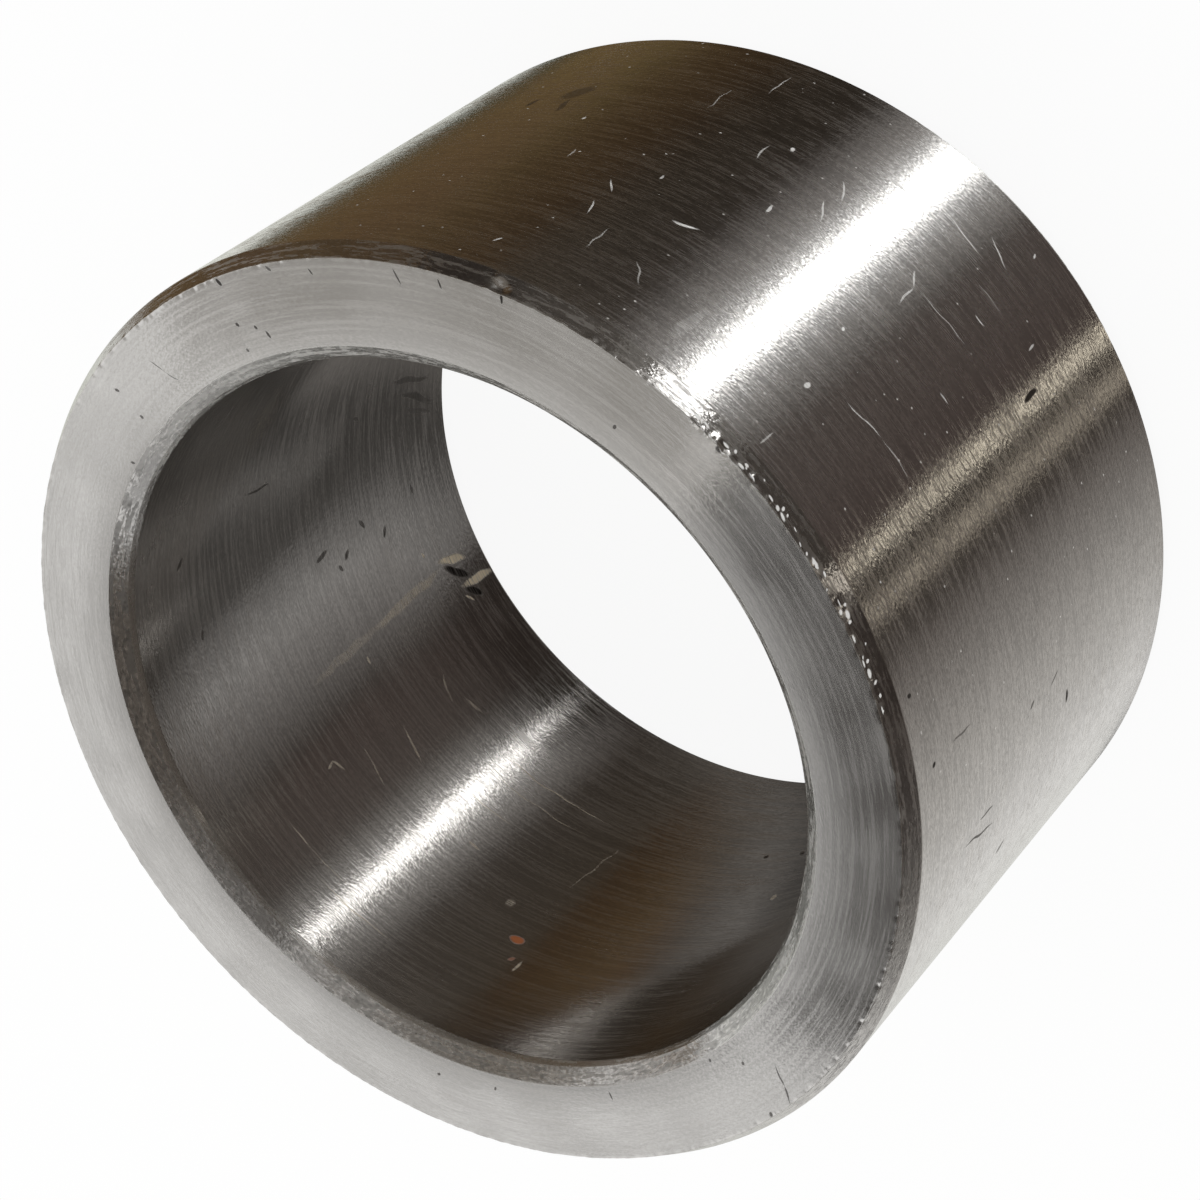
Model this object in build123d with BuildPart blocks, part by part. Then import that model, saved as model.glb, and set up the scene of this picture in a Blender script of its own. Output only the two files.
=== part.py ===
from build123d import *
import os

# A plain bushing: a hardened steel sleeve, turned and ground in one piece.
# Millimetres. The bore runs along Z, and the sleeve stands on one end face at Z = 0.

# Driving dimensions
bore_diameter = 50.0
wall = 7.5
length = 40.0

# Lead at both ends of the outside, which starts the sleeve into its housing
lead_depth = 0.7
lead_length = 1.2

# Chamfer at both mouths of the bore
mouth_depth = 0.95
mouth_length = 0.85

# Steeper edge break, where that chamfer would meet the honed bore in a sharp corner
edge_depth = 0.25
edge_length = 0.35

# Radii of the section, from the bore out
bore_radius = bore_diameter / 2
edge_radius = bore_radius + edge_depth
mouth_radius = edge_radius + mouth_depth
outside_radius = bore_radius + wall
face_radius = outside_radius - lead_depth

# Both ends are alike, on either side of the plane at half length
middle = length / 2
half_length = Plane(origin=(0, middle, 0), z_dir=(0, 1, 0))

with BuildPart() as bushing:
    # Section through the wall: the lower end is drawn, and its mirror image is the upper one
    with BuildSketch(Plane.XZ):
        with BuildLine():
            Polyline(
                (bore_radius, middle),
                (bore_radius, mouth_length + edge_length),
                (edge_radius, mouth_length),
                (mouth_radius, 0),
                (face_radius, 0),
                (outside_radius, lead_length),
                (outside_radius, middle),
            )
            mirror(about=half_length)
        make_face()
    revolve(axis=Axis.Z)

bushing.part.label = "bushing"

os.makedirs("parts", exist_ok=True)
export_step(bushing.part, "parts/bushing.step")
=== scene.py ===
# %% [markdown]
# # A plain bushing of ground steel
# The object is a sleeve that carries a pin: one ring of hardened steel, turned on a lathe, then
# ground outside and honed in the bore. There is nothing to assemble, so all of its looks are in
# the section, the small marks of its making and handling, and what the bright steel mirrors.
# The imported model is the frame: it stands on Z = 0, and everything below is measured from it.

import math

import bpy
from mathutils import Matrix, Vector, noise


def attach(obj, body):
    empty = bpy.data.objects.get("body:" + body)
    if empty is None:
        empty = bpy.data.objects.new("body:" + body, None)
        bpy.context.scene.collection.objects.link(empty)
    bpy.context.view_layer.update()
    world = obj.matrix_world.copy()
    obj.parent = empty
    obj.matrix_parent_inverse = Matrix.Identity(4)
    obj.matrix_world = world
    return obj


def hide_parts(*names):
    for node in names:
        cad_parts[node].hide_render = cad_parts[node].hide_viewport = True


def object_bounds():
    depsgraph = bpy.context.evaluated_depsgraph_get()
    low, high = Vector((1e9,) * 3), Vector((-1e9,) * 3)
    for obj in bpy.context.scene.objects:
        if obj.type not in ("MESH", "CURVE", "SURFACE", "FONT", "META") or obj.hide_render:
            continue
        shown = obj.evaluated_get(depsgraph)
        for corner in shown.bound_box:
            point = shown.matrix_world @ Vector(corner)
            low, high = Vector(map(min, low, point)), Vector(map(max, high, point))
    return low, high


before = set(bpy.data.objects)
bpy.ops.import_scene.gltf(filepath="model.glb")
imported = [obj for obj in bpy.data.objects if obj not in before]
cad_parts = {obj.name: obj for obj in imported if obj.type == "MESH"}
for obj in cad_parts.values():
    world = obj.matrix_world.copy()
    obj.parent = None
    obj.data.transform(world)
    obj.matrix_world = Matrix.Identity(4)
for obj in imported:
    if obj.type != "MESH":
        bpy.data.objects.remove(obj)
cad_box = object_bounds()
MM = 0.001
print("CAD box in mm:", [round(side / MM, 2) for side in cad_box[1] - cad_box[0]])

# %% [markdown]
# ## The section
# A turned part is known by its section. The CAD ring holds it already: every corner of the section
# is a circle of vertices. Reading those circles keeps this script true to the CAD, where typing the
# sizes again would not.
# The corners run clockwise, starting at the top of the bore, so each side gets the name of the cut
# that made it.

# %% Read the section off the CAD ring
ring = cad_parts["bushing"]
length = cad_box[1].z
circles = {(round(math.hypot(v.co.x, v.co.y), 5), round(v.co.z, 5)) for v in ring.data.vertices}
upper_corners = sorted(corner for corner in circles if corner[1] > 0.6 * length)
lower_corners = [(radius, length - height) for radius, height in reversed(upper_corners)]
corners = [Vector(corner) for corner in upper_corners + lower_corners]
side_names = ["edge_break", "mouth", "face", "lead", "outside"]
side_names += ["lead", "face", "mouth", "edge_break", "bore"]
bore_radius, outside_radius = corners[0].x, corners[4].x
for corner, side in zip(corners, side_names):
    print(f"radius {corner.x / MM:.2f} mm, height {corner.y / MM:.2f} mm, then the {side}")

# %% [markdown]
# ## Rows of the section
# No real edge is sharp. Each corner of the section becomes a small arc, because that arc is what
# draws the thin bright line along a rim. A bevel modifier could do it too, but it would not let us
# choose where the mesh is dense.
# The rows are close together only near the upper rim, where the dings go. On a straight wall two
# rows are enough, however tall it is.

# %% Round the corners and lay the rows
edge_rounds = [0.10, 0.10, 0.07, 0.06, 0.12]
edge_rounds += list(reversed(edge_rounds))
arc_steps = [3] * 5 + [2] * 5
rows = []


def add_row(point, outward, side):
    """One circle of the ring: its place in the section, which way is out, and its side's name."""
    along = rows[-1]["along"] + (point - rows[-1]["point"]).length if rows else 0.0
    rows.append({"point": point, "outward": outward, "side": side, "along": along})


def round_corner(index):
    """Adds the rows of the small arc that takes the sharpness off one corner."""
    corner = corners[index]
    back = (corners[index - 1] - corner).normalized()
    ahead = (corners[(index + 1) % len(corners)] - corner).normalized()
    half = back.angle(ahead) / 2
    radius = edge_rounds[index] * MM
    centre = corner + (back + ahead).normalized() * radius / math.sin(half)
    start = corner + back * radius / math.tan(half) - centre
    turn = math.pi - 2 * half
    for step in range(arc_steps[index] + 1):
        share = step / arc_steps[index]
        outward = Matrix.Rotation(-turn * share, 2) @ start.normalized()
        side = side_names[index] if step == arc_steps[index] else "rim"
        add_row(centre + outward * radius, outward, side)


def rows_between(index, shares):
    """Adds rows on the straight side that starts at one corner, at these shares of its length."""
    start, end = corners[index], corners[(index + 1) % len(corners)]
    across = (end - start).normalized()
    for share in shares:
        add_row(start.lerp(end, share), Vector((-across.y, across.x)), side_names[index])


extra_rows = {
    1: [0.25, 0.5, 0.75],
    2: [0.5, 0.72, 0.80, 0.85, 0.89, 0.92, 0.945, 0.967],
    3: [0.14, 0.26, 0.38, 0.5, 0.62, 0.74, 0.86],
    4: [0.007, 0.011, 0.016, 0.023],
}
for index in range(len(corners)):
    round_corner(index)
    rows_between(index, extra_rows.get(index, []))
print(len(rows), "rows round a section", round(rows[-1]["along"] / MM, 1), "mm long")

# %% [markdown]
# ## Dings on the rim
# Hard steel doesn't dent softly: a knock on the rim throws up a tiny burr or breaks out a hollow
# with a raised lip. Both are real shape here, because they have to catch the light from every side.
# Each one is a smooth hill or hollow on the mesh, given by its azimuth on the ring, how far it lies
# past the rim of the upper face along the section, and its half sizes. The burrs were placed from
# the photograph, one after the other.
# A little even roughness along both rims stands for the burrs that are too small to place.

# %% Place the dings
rim_dings = [
    # azimuth, past the rim, half length, half width, height, all but the first in millimetres
    (32.2, 0.45, 0.55, 0.30, -0.26),
    (32.9, 1.10, 0.30, 0.22, 0.10),
    (33.4, 0.10, 0.22, 0.14, 0.07),
    (31.0, 0.62, 0.40, 0.14, 0.07),
    (27.8, 0.05, 0.20, 0.12, 0.06),
    (25.7, 0.05, 0.30, 0.10, 0.05),
    (24.1, 0.08, 0.22, 0.14, 0.07),
    (20.6, 0.10, 0.24, 0.16, 0.08),
    (19.4, 0.05, 0.40, 0.10, 0.04),
    (4.0, 0.20, 0.28, 0.24, 0.10),
    (2.9, 0.02, 0.24, 0.14, -0.08),
    (1.9, 0.12, 0.34, 0.12, 0.06),
    (0.2, 0.10, 0.38, 0.14, 0.07),
    (-1.2, 0.32, 0.18, 0.20, 0.08),
    (-2.3, 0.10, 0.26, 0.12, 0.06),
    (-3.9, 0.12, 0.20, 0.16, 0.08),
    (-4.4, 0.62, 0.18, 0.12, 0.05),
    (-11.2, 0.08, 0.26, 0.14, 0.07),
    (-17.0, 0.45, 0.35, 0.18, -0.07),
    (-18.9, 0.10, 0.24, 0.20, 0.10),
    (-20.9, 0.08, 0.22, 0.16, 0.08),
    (-23.4, 0.05, 0.50, 0.10, 0.04),
    (-25.8, 0.12, 0.20, 0.16, 0.09),
    (-25.8, 0.72, 0.08, 0.50, 0.05),
    (-28.0, 0.12, 0.20, 0.14, 0.07),
    (-36.4, 0.05, 0.26, 0.12, 0.06),
]
rim_along = min(rows, key=lambda row: (row["point"] - corners[3]).length)["along"]
lower_rim_along = min(rows, key=lambda row: (row["point"] - corners[6]).length)["along"]


def ding_height(azimuth, row):
    """How far the steel stands out or in, in metres, at one azimuth of one row."""
    past = (row["along"] - rim_along) / MM
    low_past = (row["along"] - lower_rim_along) / MM
    round_mm = outside_radius / MM
    height = 0.0
    if abs(past) < 2.2:
        for centre, out, half_length, half_width, rise in rim_dings:
            turned = math.radians(azimuth - centre) * round_mm / half_length
            if abs(turned) < 2.5:
                height += rise * math.exp(-turned ** 2 - ((past - out) / half_width) ** 2)
    nearest = min(abs(past), abs(low_past))
    if nearest < 0.5:
        spot = Vector((math.sin(math.radians(azimuth)), math.cos(math.radians(azimuth)), 0))
        grain = noise.noise(spot * round_mm / 0.55) + 0.6 * noise.noise(spot * round_mm / 0.25)
        height += 0.028 * grain * math.exp(-(nearest / 0.16) ** 2)
    return height * MM


print(len(rim_dings), "dings, the deepest", min(ding[4] for ding in rim_dings), "mm")

# %% [markdown]
# ## Turn the ring
# A lathe makes this shape by turning the section about one axis, and so does the mesh: each row of
# the section becomes a circle, and quads join one circle to the next. The Screw modifier does the
# same, but the dings need to know each vertex's azimuth, so the vertices are made here by hand.
# The ring is cut into 1440 steps, a quarter of a degree each, because a mirror finish shows every
# flat facet. Azimuth 0 faces the camera, and 90 is on the +X side.

# %% Build the mesh
turn_steps = 1440
vertices, faces, face_sides = [], [], []
for row in rows:
    for step in range(turn_steps):
        azimuth = (step * 360 / turn_steps + 180) % 360 - 180
        point = row["point"] + row["outward"] * ding_height(azimuth, row)
        radius = min(point.x, outside_radius)
        height = min(max(point.y, 0.0), length)
        angle = math.radians(azimuth)
        vertices.append((radius * math.sin(angle), -radius * math.cos(angle), height))
for index, row in enumerate(rows):
    here, there = index * turn_steps, (index + 1) % len(rows) * turn_steps
    for step in range(turn_steps):
        after = (step + 1) % turn_steps
        faces.append((here + step, there + step, there + after, here + after))
        face_sides.append(row["side"])
ring_mesh = bpy.data.meshes.new("turned_ring")
ring_mesh.from_pydata(vertices, [], faces)
turned_ring = bpy.data.objects.new("turned_ring", ring_mesh)
bpy.context.scene.collection.objects.link(turned_ring)
for polygon in ring_mesh.polygons:
    polygon.use_smooth = True
flatter = turned_ring.modifiers.new("flat sides stay flat", "WEIGHTED_NORMAL")
flatter.weight = 50
print(len(vertices), "vertices,", 2 * len(faces), "triangles")

# %% [markdown]
# ## An even layout for the surface
# The procedural finishes need no UV map, but the exported model does: its textures are laid out by
# one. The section unrolls like a label, with the turning direction along U and the section along V,
# so the fine grinding lines, which are thin along V, keep the most pixels.

# %% Unroll the ring
layout = ring_mesh.uv_layers.new(name="OFBake")
whole = rows[-1]["along"] + (rows[0]["point"] - rows[-1]["point"]).length
loop = 0
for index, row in enumerate(rows):
    low = row["along"] / whole
    high = rows[index + 1]["along"] / whole if index + 1 < len(rows) else 1.0
    for step in range(turn_steps):
        left, right = step / turn_steps, (step + 1) / turn_steps
        for corner_uv in ((left, low), (left, high), (right, high), (right, low)):
            layout.data[loop].uv = (0.002 + 0.996 * corner_uv[0], 0.002 + 0.996 * corner_uv[1])
            loop += 1
print("one texture pixel of 2048 is about", round(whole / MM / 2048, 3), "mm along the section")

# %% [markdown]
# ## Two helpers for materials
# Colours are picked as sRGB hex values, as on any screen, and Blender works in linear light, so one
# function turns the one into the other. A second function adds a node, sets it and joins it up, so
# that each line below reads as one step of the finish.

# %% Colour and node helpers
def colour(hex_code):
    """An sRGB hex colour as the linear RGBA that Blender's sockets take."""
    shares = [int(hex_code[place:place + 2], 16) / 255 for place in (1, 3, 5)]
    linear = [s / 12.92 if s <= 0.04045 else ((s + 0.055) / 1.055) ** 2.4 for s in shares]
    return (*linear, 1.0)


def add(tree, kind, inputs, **settings):
    """Adds a node, sets its options, and fills its sockets with numbers or with other nodes."""
    node = tree.nodes.new("ShaderNode" + kind)
    for option, value in settings.items():
        setattr(node, option, value)
    for socket, value in inputs.items():
        source = value.outputs[0] if isinstance(value, bpy.types.Node) else value
        if isinstance(source, bpy.types.NodeSocket):
            tree.links.new(source, node.inputs[socket])
        else:
            node.inputs[socket].default_value = source
    return node


print("mid grey #808080 is", round(colour("#808080")[0], 3), "in linear light")

# %% [markdown]
# ## Where a point is on a turned part
# Grinding, turning and honing all leave lines that run round the axis. To draw them, a shader needs
# to know where it is on the lathe: the direction from the axis, the radius and the height. These
# come from Object coordinates, which are the frame's own metres, and so they stay put when the
# camera or the light moves.

# %% Places in millimetres
def lathe_place(tree):
    """The direction from the axis, and the radius and height in millimetres."""
    spot = add(tree, "TexCoord", {}).outputs["Object"]
    in_mm = add(tree, "VectorMath", {0: spot, "Scale": 1 / MM}, operation="SCALE")
    flat = add(tree, "VectorMath", {0: in_mm, 1: (1, 1, 0)}, operation="MULTIPLY")
    outward = add(tree, "VectorMath", {0: flat}, operation="NORMALIZE")
    radius = add(tree, "VectorMath", {0: flat}, operation="LENGTH").outputs["Value"]
    height = add(tree, "SeparateXYZ", {0: in_mm}).outputs["Z"]
    return {"flat": flat, "outward": outward, "radius": radius, "height": height}


def round_the_axis(tree, place, across, long, thin, mean_radius):
    """Coordinates in which one unit is 'long' mm round the axis and 'thin' mm across the lines."""
    scale = mean_radius / long
    circle = add(tree, "VectorMath", {0: place["outward"], "Scale": scale}, operation="SCALE")
    layer = add(tree, "Math", {0: place[across], 1: 1 / thin}, operation="MULTIPLY")
    lift = add(tree, "CombineXYZ", {"Z": layer})
    return add(tree, "VectorMath", {0: circle, 1: lift}, operation="ADD")


def unrolled(tree, place, wall_radius, facing):
    """A wall laid flat: millimetres round it from the side at facing (x, y), and height."""
    parts = add(tree, "SeparateXYZ", {0: place["outward"]})
    side = add(tree, "Math", {0: parts.outputs["X"], 1: -facing}, operation="MULTIPLY")
    front = add(tree, "Math", {0: parts.outputs["Y"], 1: facing}, operation="MULTIPLY")
    angle = add(tree, "Math", {0: side, 1: front}, operation="ARCTAN2")
    arc = add(tree, "Math", {0: angle, 1: wall_radius}, operation="MULTIPLY")
    return add(tree, "CombineXYZ", {"X": arc, "Y": place["height"]})


# %% [markdown]
# ## Scratches, pits and stains
# The marks of handling are single things, each in its own place, so no noise texture can give them.
# A mark is drawn as a soft ellipse: a Mapping node set to Texture moves, turns and shrinks the
# surface until the mark is the unit circle, and a spherical Gradient fills that circle. The largest
# of all the ellipses is the mask. Each mark is one line in a list, from end to end in millimetres,
# with its width and its strength.

# %% Masks for single marks
def mark_mask(tree, surface, marks, to_flat):
    """One mask from 0 to 1 for a list of marks, each from one place to another."""
    ruffle = add(tree, "TexNoise", {"Vector": surface, "Scale": 0.7, "Detail": 0.0})
    middle_grey = {0: ruffle.outputs["Color"], 1: (0.5, 0.5, 0.5)}
    centred = add(tree, "VectorMath", middle_grey, operation="SUBTRACT")
    shift = add(tree, "VectorMath", {0: centred, "Scale": 0.4}, operation="SCALE")
    ruffled = add(tree, "VectorMath", {0: surface, 1: shift}, operation="ADD")
    mask = None
    for start, end, width, strength in marks:
        start, end = Vector(to_flat(*start)), Vector(to_flat(*end))
        reach = end - start
        half_length = reach.length / 2 + width / 2
        middle = (start + end) / 2
        settings = {
            "Vector": ruffled,
            "Location": (middle.x, middle.y, 0),
            "Rotation": (0, 0, math.atan2(reach.y, reach.x)),
            "Scale": (half_length, width / 2, 1),
        }
        ellipse = add(tree, "Mapping", settings, vector_type="TEXTURE")
        filled = add(tree, "TexGradient", {0: ellipse}, gradient_type="SPHERICAL").outputs[1]
        share = add(tree, "MapRange", {"Value": filled, 2: 0.35, 4: strength})
        if mask is None:
            mask = share
        else:
            mask = add(tree, "Math", {0: mask, 1: share}, operation="MAXIMUM")
    return mask


def on_wall(wall_radius):
    """Turns an azimuth in degrees and a height in millimetres into the unrolled wall's places."""
    return lambda azimuth, height: (math.radians(azimuth) * wall_radius, height)


def on_end(azimuth, radius):
    """Turns an azimuth in degrees and a radius in millimetres into x and y."""
    return (radius * math.sin(math.radians(azimuth)), -radius * math.cos(math.radians(azimuth)))


# %% [markdown]
# ## Ground steel
# Hardened steel reflects a bit over half of the light, nearly without colour, so the base colour is
# a light warm grey and metallic is 1, with the default IOR. Grinding leaves fine lines round the
# axis. They blur what the wall mirrors up and down much more than round it, which is why a lamp
# shows as a long streak along the axis: that is the Anisotropic socket, with the Tangent node's
# radial direction about Z, turned by a quarter.
# The real lines are about 0.03 mm apart, too fine for this picture. They are drawn 0.11 mm apart
# and 1 to 4 mm long, and each has a roughness of its own, which frays the edges of every
# reflection. Shorter ticks of 0.3 mm give the grain between them, as a bump of a hundredth of a
# millimetre and less. A softer stretch, below 1, lets the rough lines blur round the wall too, so
# that a bright lamp fades out in fine streaks.

# %% Steel finish
tick_mm = 0.3
patch_per_mm = 0.22


def steel_material(name, across, mean_radius, rough, fray, grain, bump_mm,
                   tint="#C4C2BF", fine=0.11, line_mm=0.8, stretch=1.0):
    """A ground, turned or honed steel, and the nodes that a zone may add its own marks to."""
    material = bpy.data.materials.new(name)
    material.use_nodes = True
    tree = material.node_tree
    tree.nodes.clear()
    place = lathe_place(tree)
    lines = round_the_axis(tree, place, across, line_mm, fine, mean_radius)
    bands = round_the_axis(tree, place, across, 5 * line_mm, 2 * fine, mean_radius)
    ticks = round_the_axis(tree, place, across, tick_mm, 0.9 * fine, mean_radius)
    line_noise = add(tree, "TexNoise", {"Vector": lines, "Scale": 1.0, "Detail": 1.0})
    band_noise = add(tree, "TexNoise", {"Vector": bands, "Scale": 1.0, "Detail": 1.0})
    tick_noise = add(tree, "TexNoise", {"Vector": ticks, "Scale": 1.0, "Detail": 1.0})
    patch_lift = add(tree, "CombineXYZ", {"Z": place["height"]})
    patch_place = add(tree, "VectorMath", {0: place["flat"], 1: patch_lift}, operation="ADD")
    patch = {"Vector": patch_place, "Scale": patch_per_mm, "Detail": 1.0}
    patch_noise = add(tree, "TexNoise", patch)
    both = add(tree, "Math", {0: line_noise, 1: band_noise}, operation="ADD")
    fraying = {"Value": both, 1: 1.0, 2: 1.15, 3: rough, 4: rough + fray}
    frayed = add(tree, "MapRange", fraying)
    patchy = {"Value": patch_noise, 1: 0.3, 2: 0.7, 3: -0.02, 4: 0.03}
    uneven = add(tree, "MapRange", patchy)
    roughness = add(tree, "Math", {0: frayed, 1: uneven}, operation="ADD")
    mixed = add(tree, "Math", {0: tick_noise, 1: band_noise}, operation="ADD")
    toning = {"Value": mixed, 1: 0.85, 2: 1.15, 3: 1 - grain, 4: 1 + grain}
    tone = add(tree, "MapRange", toning)
    shaded = add(tree, "VectorMath", {0: colour(tint)[:3], "Scale": tone}, operation="SCALE")
    metres = {"Height": tick_noise, "Strength": 1.0, "Distance": bump_mm * MM}
    bump = add(tree, "Bump", metres)
    tangent = add(tree, "Tangent", {}, direction_type="RADIAL", axis="Z")
    inputs = {
        "Base Color": shaded,
        "Metallic": 1.0,
        "Roughness": roughness,
        "Anisotropic": stretch,
        "Anisotropic Rotation": 0.25,
        "Tangent": tangent,
        "Normal": bump,
    }
    surface = add(tree, "BsdfPrincipled", inputs)
    add(tree, "OutputMaterial", {"Surface": surface})
    steel = {"material": material, "tree": tree, "place": place, "surface": surface}
    steel.update(colour=shaded, roughness=roughness, metallic=1.0, lines=line_noise)
    return steel


def lay_over(steel, mask, hex_code, rough, metallic=None):
    """Where the mask is 1 the steel takes this colour and roughness, as in a scratch or a stain."""
    tree, surface = steel["tree"], steel["surface"]
    tint = {0: mask, 6: steel["colour"], 7: colour(hex_code)}
    mixed = add(tree, "Mix", tint, data_type="RGBA")
    steel["colour"] = mixed.outputs[2]
    steel["roughness"] = add(tree, "Mix", {0: mask, 2: steel["roughness"], 3: rough})
    tree.links.new(steel["colour"], surface.inputs["Base Color"])
    tree.links.new(steel["roughness"].outputs[0], surface.inputs["Roughness"])
    if metallic is not None:
        steel["metallic"] = add(tree, "Mix", {0: mask, 2: steel["metallic"], 3: metallic})
        tree.links.new(steel["metallic"].outputs[0], surface.inputs["Metallic"])


def broken_up(steel, mask, low):
    """A mask broken by the grinding lines, down to the share low, so it isn't one flat stroke."""
    breaks = {"Value": steel["lines"], 1: 0.3, 2: 0.6, 3: low, 4: 1.0}
    uneven = add(steel["tree"], "MapRange", breaks)
    return add(steel["tree"], "Math", {0: mask, 1: uneven}, operation="MULTIPLY")


# %% [markdown]
# ## The ground outside
# This is the showpiece of the part: a wall that was ground to size, so it is the smoothest and the
# most mirror-like. It carries the scratches of a box of other parts, and their glints are painted:
# one light, rough and mostly dull colour, hardly metal, makes each scratch bright under any light,
# a painted highlight on a real scratch. A few real pits stay dark.

# %% Ground outside wall
ground = steel_material("ground_steel", "height", 32.5, rough=0.135, fray=0.16, grain=0.17,
                        bump_mm=0.010, stretch=0.7)
scratches_and_glints = [
    # from (azimuth, height) to (azimuth, height), width in mm, strength
    ((35.0, 24.4), (33.5, 25.8), 0.16, 0.8),
    ((33.8, 27.5), (33.0, 29.2), 0.14, 0.8),
    ((25.5, 26.0), (23.0, 25.6), 0.34, 1.0),
    ((29.5, 33.0), (29.5, 29.7), 0.13, 0.5),
    ((24.1, 12.1), (24.0, 12.3), 0.36, 1.0),
    ((32.2, 6.9), (32.2, 3.5), 0.13, 0.7),
    ((35.9, 7.8), (35.7, 11.5), 0.11, 0.5),
    ((26.2, 13.0), (25.8, 15.3), 0.13, 0.7),
    ((15.0, 32.0), (15.1, 36.0), 0.90, 0.22),
    ((24.2, 31.6), (21.8, 33.8), 0.14, 0.5),
    ((37.3, 35.8), (36.9, 35.2), 0.18, 0.8),
    ((17.0, 12.3), (15.3, 14.4), 0.16, 0.9),
    ((16.5, 15.4), (15.0, 17.5), 0.16, 0.9),
    ((19.9, 19.0), (19.8, 20.0), 0.24, 0.9),
    ((42.3, 21.6), (42.0, 23.0), 0.18, 0.5),
    ((31.1, 21.8), (30.9, 22.2), 0.21, 0.8),
    ((46.5, 16.5), (46.4, 16.8), 0.24, 0.8),
    ((17.0, 8.8), (6.5, 8.8), 0.13, 0.6),
    ((7.0, 7.7), (0.8, 8.2), 0.16, 0.9),
    ((1.5, 5.8), (-2.5, 7.1), 0.16, 0.9),
    ((4.0, 14.7), (3.0, 16.2), 0.18, 0.8),
    ((3.0, 16.2), (2.5, 18.4), 0.18, 0.8),
    ((2.5, 16.0), (-6.0, 16.0), 0.13, 0.6),
    ((-4.0, 12.9), (-5.5, 12.9), 0.18, 0.8),
    ((-1.5, 10.6), (-6.0, 10.5), 0.13, 0.5),
    ((-10.6, 9.6), (-11.0, 10.4), 0.21, 0.8),
    ((2.5, 30.7), (2.4, 31.1), 0.36, 1.0),
    ((0.9, 36.3), (0.9, 38.0), 0.16, 0.5),
    ((-1.5, 29.2), (-7.0, 28.6), 0.16, 0.7),
    ((-7.0, 28.6), (-12.0, 28.5), 0.14, 0.5),
    ((4.4, 24.5), (4.3, 24.7), 0.27, 1.0),
    ((-7.7, 21.1), (-8.9, 21.1), 0.16, 0.8),
    ((-3.2, 3.4), (-3.4, 3.7), 0.24, 0.9),
]
dark_pits = [
    ((-14.6, 13.6), (-14.8, 11.9), 0.42, 0.8),
    ((-47.6, 17.4), (-49.0, 17.4), 0.40, 0.9),
    ((-52.8, 32.5), (-54.5, 27.8), 0.20, 0.7),
    ((-51.6, 28.5), (-51.6, 30.3), 0.22, 0.6),
    ((-60.6, 24.9), (-61.3, 25.6), 0.55, 0.5),
    ((-38.4, 31.3), (-38.4, 34.0), 0.16, 0.5),
    ((-38.4, 36.3), (-38.5, 36.5), 0.34, 0.9),
    ((-44.0, 22.6), (-44.6, 23.1), 0.24, 0.6),
    ((-29.5, 37.4), (-29.5, 37.6), 0.30, 0.8),
    ((-43.6, 19.0), (-44.4, 20.0), 0.22, 0.5),
    ((51.2, 11.5), (52.6, 13.0), 1.60, 0.35),
    ((51.0, 15.8), (51.6, 13.5), 0.50, 0.4),
    ((56.0, 13.4), (56.3, 14.4), 0.45, 0.5),
]
wall_flat = unrolled(ground["tree"], ground["place"], 32.5, -1)
scratch_and_glint_mask = mark_mask(ground["tree"], wall_flat, scratches_and_glints, on_wall(32.5))
# The scratches are painted near-white and mostly not metal, so each one carries a painted glint.
lay_over(ground, broken_up(ground, scratch_and_glint_mask, 0.6), "#FBFAF7", 0.55, metallic=0.2)
pit_mask = mark_mask(ground["tree"], wall_flat, dark_pits, on_wall(32.5))
lay_over(ground, pit_mask, "#3B3733", 0.6)
print(len(scratches_and_glints), "scratches and", len(dark_pits), "pits on the outside")

# %% [markdown]
# ## Dust and grit
# Between the placed marks, the dark reflections on the outside are peppered with specks of light:
# lint and grit of 0.1 to 0.2 mm, far too many to place. A Voronoi texture has one point per cell.
# Keeping only the points whose random colour is high gives sparse, uneven specks for the price of
# one node. Grit isn't metal, so it is lit like any pale dust.

# %% Scatter the specks
def specks(steel, spacing_mm, radius_mm, share):
    """A mask of sparse dots, about one for each spacing, and only a share of them."""
    tree = steel["tree"]
    lift = add(tree, "CombineXYZ", {"Z": steel["place"]["height"]})
    spot = add(tree, "VectorMath", {0: steel["place"]["flat"], 1: lift}, operation="ADD")
    cells = add(tree, "TexVoronoi", {"Vector": spot, "Scale": 1 / spacing_mm})
    rim = radius_mm / spacing_mm
    dots = add(tree, "MapRange", {"Value": cells.outputs["Distance"], 1: rim, 2: 0.3 * rim})
    pick = add(tree, "SeparateColor", {0: cells.outputs["Color"]})
    kept = add(tree, "Math", {0: pick, 1: 1 - share}, operation="GREATER_THAN")
    return add(tree, "Math", {0: dots, 1: kept}, operation="MULTIPLY")


lay_over(ground, specks(ground, 0.9, 0.11, 0.35), "#F0EDE8", 0.6, metallic=0.4)
print("specks of grit on the outside wall")
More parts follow.
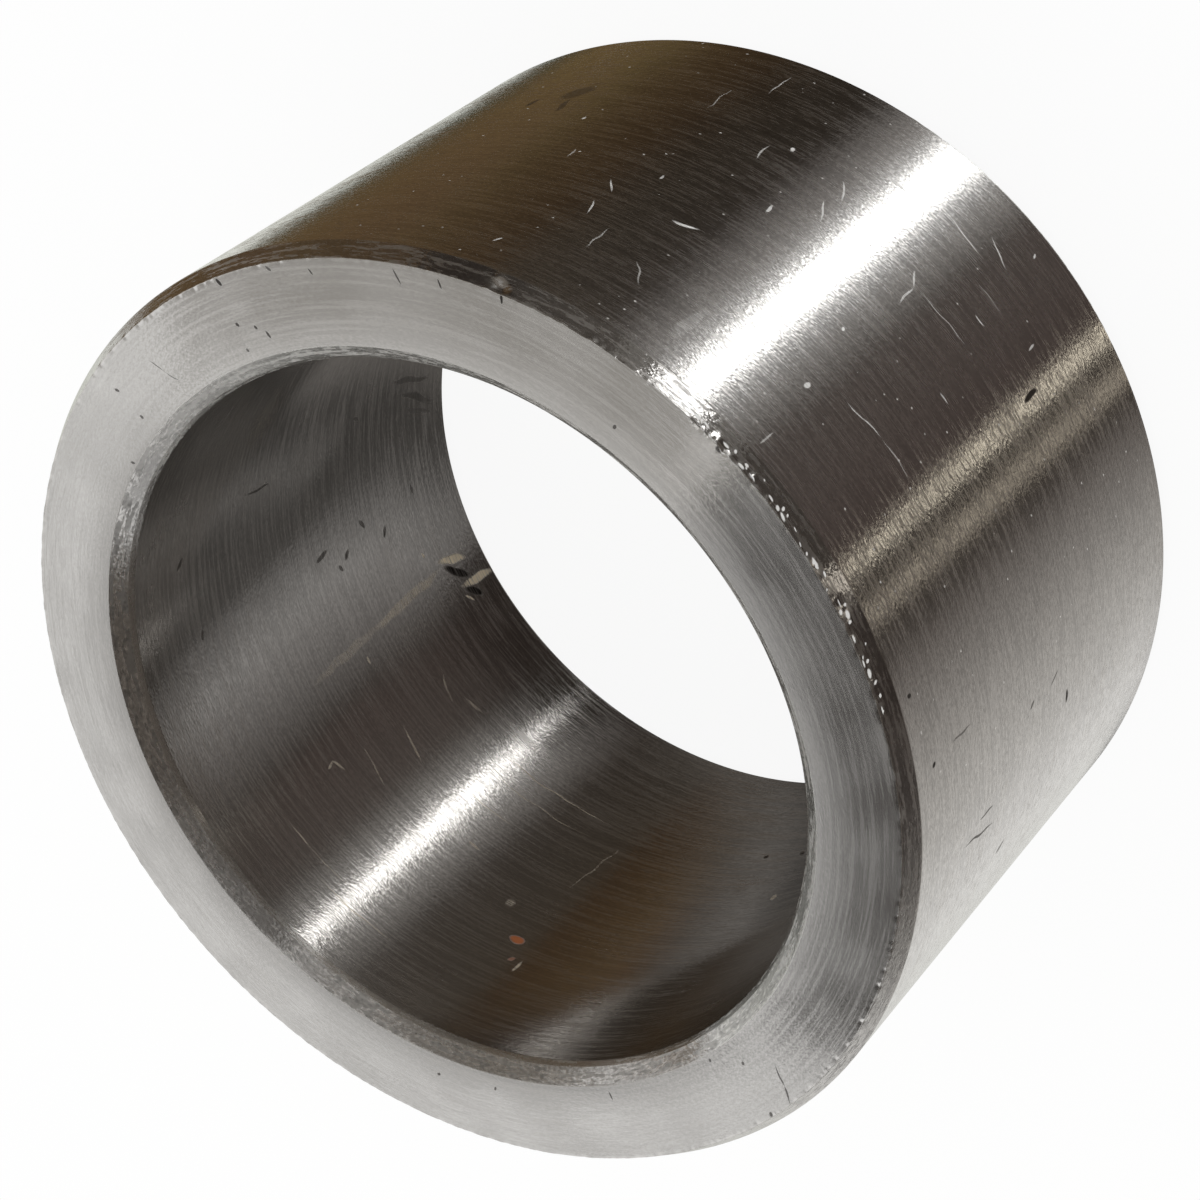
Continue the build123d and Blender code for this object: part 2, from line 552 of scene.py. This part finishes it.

# %% [markdown]
# ## The turned ends
# The ends were faced on the lathe, with a tool that feeds about 0.1 mm a turn. That leaves even,
# concentric lines and a duller shine than grinding. The lines are drawn 0.12 mm apart, because a
# finer feed would shimmer at this size. The pits are dark, and the nicks are painted dark as
# painted shade in their hollows, where the scratches of the wall are bright: the end mirrors the
# pale side of the room.

# %% Turned face
turned = steel_material("turned_steel", "radius", 29.0, rough=0.16, fray=0.04, grain=0.04,
                        bump_mm=0.002, tint="#CFCDCA", fine=0.12, line_mm=2.5)
face_pits_and_nick_shade = [
    # from (azimuth, radius) to (azimuth, radius), width in mm, strength
    ((69.6, 31.6), (69.3, 31.3), 0.35, 0.9),
    ((62.1, 31.6), (61.8, 31.4), 0.25, 0.7),
    ((56.5, 31.1), (56.2, 30.75), 0.16, 0.8),
    ((45.3, 31.5), (44.2, 30.5), 0.14, 0.7),
    ((39.4, 31.4), (39.1, 30.95), 0.18, 0.8),
    ((31.7, 31.9), (31.4, 31.3), 0.20, 0.9),
    ((69.8, 28.7), (69.7, 28.6), 0.28, 0.8),
    ((67.2, 28.2), (67.1, 28.1), 0.24, 0.8),
    ((65.9, 27.8), (65.6, 27.3), 0.22, 0.8),
    ((70.4, 27.1), (70.3, 27.0), 0.22, 0.7),
    ((85.9, 29.6), (84.9, 28.4), 0.12, 0.5),
    ((84.9, 28.4), (83.7, 27.5), 0.12, 0.5),
    ((93.4, 29.9), (93.3, 29.8), 0.28, 0.7),
    ((93.8, 27.6), (93.7, 27.5), 0.26, 0.7),
    ((101.0, 26.6), (100.9, 26.5), 0.26, 0.7),
    ((-84.6, 29.3), (-86.1, 30.6), 0.14, 0.7),
    ((-86.1, 30.6), (-87.2, 31.7), 0.14, 0.7),
    ((-88.5, 27.9), (-88.6, 28.0), 0.26, 0.7),
    ((-92.8, 26.5), (-92.9, 26.6), 0.24, 0.7),
    ((-90.8, 31.5), (-90.9, 31.6), 0.26, 0.7),
    ((-112.9, 26.6), (-113.0, 27.2), 0.16, 0.7),
    ((-142.0, 27.8), (-142.1, 27.9), 0.22, 0.6),
    ((-132.6, 27.3), (-132.7, 27.4), 0.22, 0.6),
    ((14.0, 27.8), (13.9, 27.9), 0.30, 0.7),
]
# The nicks along the rim are painted dark here, as painted shade in their hollows; the pits are
# dark too.
face_pit_and_shade_mask = mark_mask(turned["tree"], turned["place"]["flat"], face_pits_and_nick_shade, on_end)
lay_over(turned, face_pit_and_shade_mask, "#4A4642", 0.6)
print(len(face_pits_and_nick_shade), "marks on the end face")

# %% [markdown]
# ## The chamfers, the honed bore and the burnished rims
# The lead and the mouth are short cones cut with the same tool, a little rougher, so they share the
# turned finish with other settings. The bore was honed: its lines run round too, and its colour is
# painted a bit darker, as painted shade for its own far wall, which is mostly what it mirrors. The
# rims are rounded by handling, and anything that rubs bare steel all day polishes it, so they are
# the brightest lines.
# The larger burrs on the rim of the lead are real shape. Between them lie nicks of 0.1 to 0.2 mm,
# painted near-white as painted glints, and a few sine waves of different lengths give each its own
# place and size, with no random numbers to change from one run to the next.

# %% Chamfers, bore and rims
lead = steel_material("turned_lead", "height", 32.2, rough=0.18, fray=0.18, grain=0.12,
                      bump_mm=0.010)
rim_nicks_and_glints = []
for place in range(44):
    azimuth = 12 - 0.95 * place + 0.7 * math.sin(7.3 * place)
    height = 39.72 + 0.14 * math.sin(4.1 * place) - 0.2 * (place % 5 == 0)
    width = 0.08 + 0.14 * math.sin(2.7 * place) ** 2
    reach = 0.15 + 0.8 * math.sin(1.9 * place) ** 4
    rim_nicks_and_glints.append(((azimuth, height), (azimuth - reach, height + 0.05), width, 0.9))
lead_flat = unrolled(lead["tree"], lead["place"], 32.2, -1)
nick_glint_mask = mark_mask(lead["tree"], lead_flat, rim_nicks_and_glints, on_wall(32.2))
# The nicks are painted near-white and mostly not metal: painted glints on real nicks.
lay_over(lead, nick_glint_mask, "#FBFAF7", 0.55, metallic=0.2)
mouth = steel_material("turned_mouth", "height", 25.7, rough=0.22, fray=0.25, grain=0.2,
                       bump_mm=0.016, fine=0.14)
# The bore's tint is a little darker than the outside's: painted shade for the far wall it mirrors.
bore = steel_material("honed_steel", "height", 25.0, rough=0.135, fray=0.11, grain=0.15,
                      bump_mm=0.009, tint="#BAB7B3", line_mm=1.6, stretch=0.7)
burnished = steel_material("burnished_rim", "height", 32.0, rough=0.22, fray=0.08, grain=0.08,
                           bump_mm=0.001, tint="#C9C7C3")
print("chamfers, bore and rims, with", len(rim_nicks_and_glints), "nicks")

# %% [markdown]
# ## Marks in the bore
# A spot of rust, a burr and some stains near the far mouth, pits and a few scratches are seen
# through the opening. Rust is iron oxide: orange-brown, matt and no metal at all, so its metallic
# is 0. The scratches hold grit, and their glints and the burr's bright lip are painted: a dull
# cream that is no metal stands for them, as painted highlights. The burr's hollow is painted dark,
# as painted shade, among the real pits.

# %% Bore marks
bore_scratches_and_glints = [
    # from (azimuth from the far side, height) to the same, width in mm, strength
    ((-20.3, 23.6), (-21.2, 15.0), 0.80, 0.22),
    ((-21.0, 16.0), (-22.1, 6.6), 0.90, 0.38),
    ((-23.3, 6.0), (-21.4, 3.4), 0.80, 1.0),
    ((-17.3, 4.9), (-16.3, 1.3), 0.80, 1.0),
    ((-15.5, 5.2), (-14.0, 4.7), 0.28, 0.9),
    ((-26.4, 7.6), (-26.0, 7.5), 0.24, 0.8),
    ((-18.0, 17.5), (-17.2, 17.5), 0.24, 0.7),
    ((-7.0, 22.6), (0.0, 23.5), 0.20, 0.4),
    ((-5.2, 18.3), (1.8, 19.3), 0.22, 0.5),
    ((-2.2, 11.5), (1.8, 11.2), 0.34, 0.5),
    ((-7.9, 11.8), (-3.0, 12.8), 0.22, 0.4),
    ((-8.1, 26.7), (-8.5, 26.0), 0.24, 0.5),
    ((-8.5, 26.0), (-6.1, 25.5), 0.24, 0.5),
    ((4.0, 34.0), (21.0, 34.0), 0.14, 0.4),
    ((-7.0, 32.6), (8.0, 32.6), 0.14, 0.4),
    ((10.0, 12.6), (32.0, 12.6), 0.16, 0.6),
    ((11.0, 14.8), (31.0, 14.8), 0.14, 0.45),
    ((10.0, 18.0), (20.0, 18.0), 0.14, 0.4),
    ((16.5, 21.9), (18.5, 21.9), 0.26, 0.5),
    ((38.3, 30.9), (38.1, 29.6), 0.30, 0.7),
    ((29.0, 24.6), (29.3, 24.9), 0.80, 0.4),
    ((34.5, 20.9), (36.5, 14.6), 0.16, 0.4),
    ((71.0, 18.4), (71.2, 18.6), 0.60, 0.6),
]
bore_pits_and_hollow_shade = [
    # the first two are the hollow of the burr, painted dark as painted shade
    ((-21.5, 5.7), (-18.3, 3.9), 0.80, 1.0),
    ((-16.3, 4.7), (-14.3, 3.6), 0.75, 1.0),
    ((-38.8, 13.2), (-37.3, 12.8), 0.46, 0.6),
    ((-34.9, 10.7), (-33.7, 10.9), 0.40, 0.7),
    ((-38.1, 6.5), (-37.1, 6.5), 0.40, 0.5),
    ((-37.5, 18.8), (-37.9, 17.8), 0.42, 0.6),
    ((-35.5, 15.4), (-34.4, 15.7), 0.42, 0.7),
    ((-34.0, 16.7), (-33.3, 16.5), 0.34, 0.6),
    ((-57.2, 23.6), (-58.1, 26.2), 0.24, 0.6),
    ((-54.4, 33.6), (-53.2, 34.0), 0.34, 0.6),
    ((-40.1, 32.3), (-39.1, 32.4), 0.34, 0.5),
    ((-57.9, 13.0), (-57.2, 12.7), 0.30, 0.5),
    ((-56.1, 6.9), (-50.1, 2.4), 0.60, 0.6),
    ((-59.8, 8.1), (-55.3, 3.2), 0.60, 0.5),
    ((-52.4, 6.1), (-48.7, 3.0), 0.50, 0.5),
    ((61.0, 12.0), (61.2, 12.2), 0.45, 0.8),
    ((68.0, 12.0), (68.2, 12.2), 0.45, 0.8),
]
rust_spots = [
    ((35.1, 27.8), (34.7, 27.8), 1.10, 1.0),
    ((36.6, 29.6), (36.3, 29.9), 0.35, 0.6),
]
bore_flat = unrolled(bore["tree"], bore["place"], 25.0, 1)
streaks = mark_mask(bore["tree"], bore_flat, bore_scratches_and_glints, on_wall(25.0))
# The burr's lip and the scratches' glints are painted a dull cream, not metal: painted highlights.
lay_over(bore, broken_up(bore, streaks, 0.3), "#FFEFD2", 0.5, metallic=0.0)
pits = mark_mask(bore["tree"], bore_flat, bore_pits_and_hollow_shade, on_wall(25.0))
# Among these pits, the burr's hollow is painted dark: painted shade.
lay_over(bore, broken_up(bore, pits, 0.6), "#2A2521", 0.6)
rust = mark_mask(bore["tree"], bore_flat, rust_spots, on_wall(25.0))
lay_over(bore, rust, "#C07040", 0.85, metallic=0.0)
print("bore marks:", len(bore_scratches_and_glints) + len(bore_pits_and_hollow_shade) + len(rust_spots))

# %% [markdown]
# ## Give each side its finish
# Every face of the ring already knows which cut made it, so the finishes go on by name. The ring is
# then tied to the frame: it moves with the only body, and stands for the CAD ring, which is hidden.

# %% Finish the ring
finishes = {
    "outside": ground, "face": turned, "lead": lead, "mouth": mouth,
    "bore": bore, "edge_break": burnished, "rim": burnished,
}
finish_order = []
for steel in finishes.values():
    if steel["material"].name not in [material.name for material in ring_mesh.materials]:
        ring_mesh.materials.append(steel["material"])
        finish_order.append(steel["material"].name)
for polygon, side in zip(ring_mesh.polygons, face_sides):
    polygon.material_index = finish_order.index(finishes[side]["material"].name)
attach(turned_ring, "root")
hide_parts("bushing")
print("finishes:", ", ".join(finish_order))

# %% [markdown]
# ## The camera
# The photograph was taken close up, from about three diameters away, which is why the near rim
# looks so much larger than the far one. The picture is also turned a good way round, as a product
# picture of a part held at a slant often is. The camera's place, its aim and its roll come from
# fitting the circles of the two ends to their outlines.

# %% Camera
camera_place = Vector((0.0, -145.04, 181.52)) * MM
camera_aim = Vector((-0.17, -17.36, 40.0)) * MM
camera_roll = 131.213
camera_data = bpy.data.cameras.new("camera")
camera_data.lens = 96.67
camera_data.sensor_width = 36.0
camera_data.clip_start = 0.01
camera = bpy.data.objects.new("camera", camera_data)
bpy.context.scene.collection.objects.link(camera)
plain = (camera_aim - camera_place).to_track_quat("-Z", "Y").to_matrix().to_4x4()
roll = Matrix.Rotation(-math.radians(camera_roll), 4, "Z")
camera.matrix_world = Matrix.Translation(camera_place) @ plain @ roll
bpy.context.scene.camera = camera
print("camera", round((camera_aim - camera_place).length / MM), "mm from the face")

# %% [markdown]
# ## The floor
# The part stands on plain white paper. The paper is drawn nearly white for the camera, with a share
# of real shading, so that a soft shadow stays under the ring. The steel doesn't mirror it: standing
# on its end, the ring would show nothing but paper in its walls, and the photographed one shows a
# room.

# %% Paper floor
floor_mesh = bpy.data.meshes.new("paper_floor")
half_floor = 2.0
floor_corners = [(-half_floor, -half_floor, 0), (half_floor, -half_floor, 0)]
floor_corners += [(half_floor, half_floor, 0), (-half_floor, half_floor, 0)]
floor_mesh.from_pydata(floor_corners, [], [(0, 1, 2, 3)])
floor = bpy.data.objects.new("paper_floor", floor_mesh)
bpy.context.scene.collection.objects.link(floor)
paper = bpy.data.materials.new("white_paper")
paper.use_nodes = True
tree = paper.node_tree
tree.nodes.clear()
lit = add(tree, "BsdfDiffuse", {"Color": colour("#F7F7F6")})
plain_white = add(tree, "Emission", {"Color": colour("#FFFFFF"), "Strength": 1.0})
seen = add(tree, "LightPath", {}).outputs["Is Camera Ray"]
white_share = add(tree, "Math", {0: seen, 1: 0.92}, operation="MULTIPLY")
mixed_paper = add(tree, "MixShader", {0: white_share, 1: lit, 2: plain_white})
add(tree, "OutputMaterial", {"Surface": mixed_paper})
floor_mesh.materials.append(paper)
floor.visible_glossy = False

# %% [markdown]
# ## The light
# Polished metal has no looks of its own: it shows the room. Photographers therefore light the room
# and not the metal. Around the ring there is white, which the camera and every mirror ray sees at a
# strength of 1, and a soft grey light for the paper and the dust. One broad lamp above gives the
# shadow a side.

# %% White surroundings and a broad lamp
world = bpy.data.worlds.new("white_studio")
bpy.context.scene.world = world
world.cycles.sampling_method = "NONE"
world.use_nodes = True
tree = world.node_tree
tree.nodes.clear()
rays = add(tree, "LightPath", {})
bent = {0: rays.outputs["Is Glossy Ray"], 1: rays.outputs["Is Transmission Ray"]}
mirrored = add(tree, "Math", bent, operation="MAXIMUM")
shown = add(tree, "Math", {0: rays.outputs["Is Camera Ray"], 1: mirrored}, operation="MAXIMUM")
strength = add(tree, "MapRange", {"Value": shown, 3: 0.85, 4: 1.0})
sky = add(tree, "Background", {"Color": colour("#FFFFFF"), "Strength": strength})
add(tree, "OutputWorld", {"Surface": sky})
lamp_data = bpy.data.lights.new("broad_lamp", "AREA")
lamp_data.size = 0.5
lamp_data.energy = 1.2
lamp = bpy.data.objects.new("broad_lamp", lamp_data)
lamp.location = (-0.25, 0.2, 0.8)
lamp.rotation_euler = (-lamp.location).to_track_quat("-Z", "Y").to_euler()
lamp.visible_glossy = False
bpy.context.scene.collection.objects.link(lamp)

# %% [markdown]
# ## Cards round the part
# Dark cards round the part give the steel something to be dark with, and a gap or a strip lamp
# between them draws the long highlights. A card here is a piece of a sphere round the part, from
# one azimuth and height to another, and its colour may fade from one end to the other. Only mirror
# rays meet the cards, so they cast no shadow and never stand in the picture.
# The ground wall blurs its reflections up and down, and seen at a slant it mirrors a straight
# upright edge along a curve, so that the blur would smear it. An edge that leans with the curve
# stays crisp: how much it leans was matched, and so were the colours, to the bands in the
# photograph.
# The bore sees the same cards as the outside, and also a ring of small ones, 45 mm from the middle
# and under the cards' edge, that only rays from inside the bore reach. They stand for the table.

# %% Hang the cards
card_centre = Vector((0, 0, length / 2))
card_distance, lamp_distance, glow_distance, backing_distance = 0.6, 0.59, 0.595, 0.61
table_distance, streak_distance = 0.045, 0.0447
# an upright edge at this azimuth is mirrored by the wall at this share of it, and at this height
mirror_share, mirror_rise = 0.46, 52.4


def card_material(name, strength):
    """An even glow of the colour that is stored on the card's vertices."""
    glow = bpy.data.materials.new(name)
    glow.use_nodes = True
    tree = glow.node_tree
    tree.nodes.clear()
    shade = add(tree, "Attribute", {}, attribute_name="shade")
    light = add(tree, "Emission", {"Color": shade, "Strength": strength})
    add(tree, "OutputMaterial", {"Surface": light})
    return glow


def leaning(azimuth, rise, share):
    """The azimuth of an edge at this height, when it follows a share of the mirror's own curve."""
    facing = mirror_share * azimuth
    level = math.cos(math.radians(mirror_rise)) / max(math.cos(math.radians(rise)), 0.01)
    bend = math.sin(math.radians(azimuth - facing)) * level
    bent = facing + math.degrees(math.asin(max(-1.0, min(1.0, bend))))
    return azimuth + share * (bent - azimuth)


def card(name, azimuths, elevations, shades, material, distance, foot=None, lean=0.0):
    """A curved card that fades from shade to shade, and may have other azimuths at its foot."""
    foot = foot or azimuths
    columns, levels = 24, 12
    points, quads, shade_values = [], [], []
    for column in range(columns + 1):
        share = column / columns
        blend = [a + (b - a) * share for a, b in zip(colour(shades[0]), colour(shades[-1]))]
        for level in range(levels + 1):
            rise = elevations[0] + (elevations[1] - elevations[0]) * level / levels
            up = level / levels
            near_edge = foot[0] + (azimuths[0] - foot[0]) * up
            far_edge = foot[1] + (azimuths[1] - foot[1]) * up
            azimuth = math.radians(leaning(near_edge + (far_edge - near_edge) * share, rise, lean))
            out = math.cos(math.radians(rise))
            way = (out * math.sin(azimuth), -out * math.cos(azimuth), math.sin(math.radians(rise)))
            points.append(card_centre + Vector(way) * distance)
            shade_values.extend(blend)
    for column in range(columns):
        for level in range(levels):
            first = column * (levels + 1) + level
            quads.append((first, first + 1, first + levels + 2, first + levels + 1))
    mesh = bpy.data.meshes.new(name)
    mesh.from_pydata(points, [], quads)
    stored = mesh.color_attributes.new(name="shade", type="FLOAT_COLOR", domain="POINT")
    stored.data.foreach_set("color", shade_values)
    mesh.materials.append(material)
    made = bpy.data.objects.new(name, mesh)
    bpy.context.scene.collection.objects.link(made)
    made.visible_camera = made.visible_diffuse = made.visible_shadow = False
    made.visible_transmission = made.visible_volume_scatter = False
    return made


card_finish = card_material("card", 1.0)
card_finish.cycles.emission_sampling = "NONE"
lamp_finish = card_material("strip_lamp", 10.0)
walls = [
    # name, azimuths, elevations, colours, lean
    ("pale_wall", (138, 180), (-88, 14), ("#F4F6EE", "#E8EAE2"), 0.0),
    ("back_wall", (-180, -126), (-88, 14), ("#DFE1D9", "#F8F7F5"), 0.0),
    ("gold_board_low", (102, 134.5), (-88, -52), ("#6B5C3E", "#76623F"), 0.0),
    ("gold_board", (102, 134.5), (-52, 25), ("#624E3A", "#6E5A3D"), 0.0),
    ("brown_board", (72, 102), (-88, -48), ("#392C21", "#54442F"), 0.0),
    ("brown_board_top", (72, 102), (-48, 25), ("#504030", "#66543D"), 0.0),
    ("black_card", (22, 72), (-88, -48), ("#3E3935", "#322B23"), 0.0),
    ("black_card_top", (22, 72), (-48, -12), ("#585350", "#554D43"), 0.0),
    ("dark_card", (-31, 22), (-88, -12), ("#564C48", "#67615D"), 0.4),
    ("black_upper", (60, 110), (-12, 25), ("#332D2A", "#3A332C"), 0.0),
    ("grey_upper", (20, 60), (-12, 25), ("#625D58", "#3A3531"), 0.0),
    ("dim_upper", (-31, 20), (-12, 25), ("#3C3632", "#55504B"), 0.0),
    ("mottled_card", (22, 110), (25, 62), ("#7A736C", "#8A837A"), 0.0),
    ("camera_side", (-110, 22), (20, 75), ("#7A736C", "#5A544F"), 0.0),
    ("edge_above", (-35, -31), (-46.8, -12), ("#67615D", "#67615D"), 0.4),
    ("dark_gap", (-41.8, -34.6), (-88, -12), ("#453F3A", "#453F3A"), 0.4),
    ("cream_line", (-45.8, -41.8), (-88, -44.5), ("#D2C7B6", "#D2C7B6"), 0.4),
    ("line_above", (-46.4, -41.2), (-44.5, -12), ("#857D74", "#857D74"), 0.4),
    ("dark_line", (-53.4, -45.8), (-88, -12), ("#4A443F", "#4A443F"), 0.4),
    ("grey_wall", (-92, -53.4), (-88, -6), ("#CBC8C4", "#675F5A"), 0.0),
    ("bright_wall", (-126, -92), (-88, -6), ("#F8F7F5", "#CBC8C4"), 0.0),
    ("dark_upper", (-150, -31), (-12, 20), ("#39322F", "#39322F"), 0.0),
    ("ceiling_card", (-180, -100), (45.6, 89), ("#3D3936", "#3D3936"), 0.0),
    ("ceiling_grey", (120, 180), (45.7, 89), ("#A19E99", "#A19E99"), 0.0),
]
for name, azimuths, elevations, shades, lean in walls:
    card(name, azimuths, elevations, shades, card_finish, card_distance, lean=lean)
print(len(walls), "cards stand round the part")

# %% [markdown]
# ## The glow and the lamps
# A strip lamp lights the cards beside it, so the long highlight fades out to both sides and doesn't
# end at an edge. The glow is drawn as cards that fade from white to grey, just in front of the dark
# ones, and the lamp hangs in front of them with a bright middle and dimmer sides. At a strength of
# 10 it is bright enough to burn out to white in the steel, as it did in the photograph.

# %% Glow and lamps
glows = [
    # name, azimuths, elevations, colours, lean
    ("glow_near_left", (12.0, 17.2), (-88, -48), ("#B4B4B4", "#FFFFFF"), 0.4),
    ("glow_far_left", (0.5, 12.0), (-88, -48), ("#5E5955", "#B4B1AE"), 0.4),
    ("glow_near_right", (28.2, 34), (-88, -48), ("#FFFFFF", "#A5A19E"), 0.4),
    ("glow_far_right", (34, 47), (-88, -48), ("#A5A19E", "#443E3A"), 0.4),
    ("glow_of_lead", (3, 34), (-12, 14), ("#8A8783", "#8A8783"), 0.4),
    ("glow_above_left", (4, 18), (-48, -12), ("#5E5955", "#BDBBB9"), 0.0),
    ("glow_above_right", (21, 40), (-48, -12), ("#BDBBB9", "#4A443F"), 0.0),
]
for name, azimuths, elevations, shades, lean in glows:
    card(name, azimuths, elevations, shades, card_finish, glow_distance, lean=lean)
card("backing", (-65, 25), (-88, -12), ("#4A443F", "#4A443F"), card_finish, backing_distance)
card("green_gap", (134.5, 138.5), (-57, -43), ("#3A4034", "#3A4034"), card_finish, glow_distance,
     foot=(134.5, 149))
lamps = [
    # name, azimuths, elevations, colours, lean
    ("strip_lamp", (20.2, 25.0), (-85, -48.5), ("#E0E0E0", "#E0E0E0"), 0.4),
    ("strip_lamp_left", (17.2, 20.2), (-85, -48.5), ("#606060", "#B8B8B8"), 0.4),
    ("strip_lamp_right", (25.0, 28.2), (-85, -48.5), ("#B8B8B8", "#5A5A5A"), 0.4),
    ("strip_lamp_dim", (17.6, 21.6), (-48.5, -38), ("#A8A8A8", "#A8A8A8"), 0.0),
    ("strip_lamp_top", (12, 23), (-10, 14), ("#B0B0B0", "#B0B0B0"), 0.0),
    ("cream_edge", (-34.6, -31.6), (-88, -46.8), ("#726D63", "#726D63"), 0.4),
    ("cream_lamp", (-28.5, -24), (-10, 14), ("#66625C", "#66625C"), 0.0),
    ("ceiling_lamp", (176, 178), (60, 70), ("#979797", "#979797"), 0.0),
]
for name, azimuths, elevations, shades, lean in lamps:
    card(name, azimuths, elevations, shades, lamp_finish, lamp_distance, lean=lean)
print(len(glows) + 2, "fading cards and", len(lamps), "lamps")

# %% [markdown]
# ## The table under the bore
# What the lower half of the bore mirrors is the table on the far side, seen through the ring and
# past its edge: dull greys with a soft, lighter band. These cards have their lower edge at other
# azimuths than the upper one, because a near thing shifts sideways as the mirror point moves up the
# bore.

# %% Table cards
tables = [
    # name, azimuths above, azimuths at the foot, elevations, colours, distance
    ("table_dark", (-180, -90), (-180, -150), (-79, -39), ("#444240", "#5C5A58"), table_distance),
    ("table_right", (145, 180), (145, 180), (-79, -39), ("#524D48", "#868380"), table_distance),
    ("table_streak", (-156, -142), (-156, -142), (-57, -39), ("#807E7C", "#807E7C"),
     streak_distance),
    ("table_shade", (-92, -60), (-153, -116), (-79, -39), ("#72706F", "#B0AFAE"), table_distance),
    ("table_fade", (-60, -24), (-116, -50), (-79, -39), ("#A3A1A0", "#4C4642"), table_distance),
    ("table_low", (-180, 180), (-180, 180), (-89.5, -79), ("#332D29", "#332D29"), table_distance),
]
for name, azimuths, foot, elevations, shades, distance in tables:
    card(name, azimuths, elevations, shades, card_finish, distance, foot=foot)
bpy.context.scene.view_settings.view_transform = "Standard"
print(len(tables), "near cards under the bore")
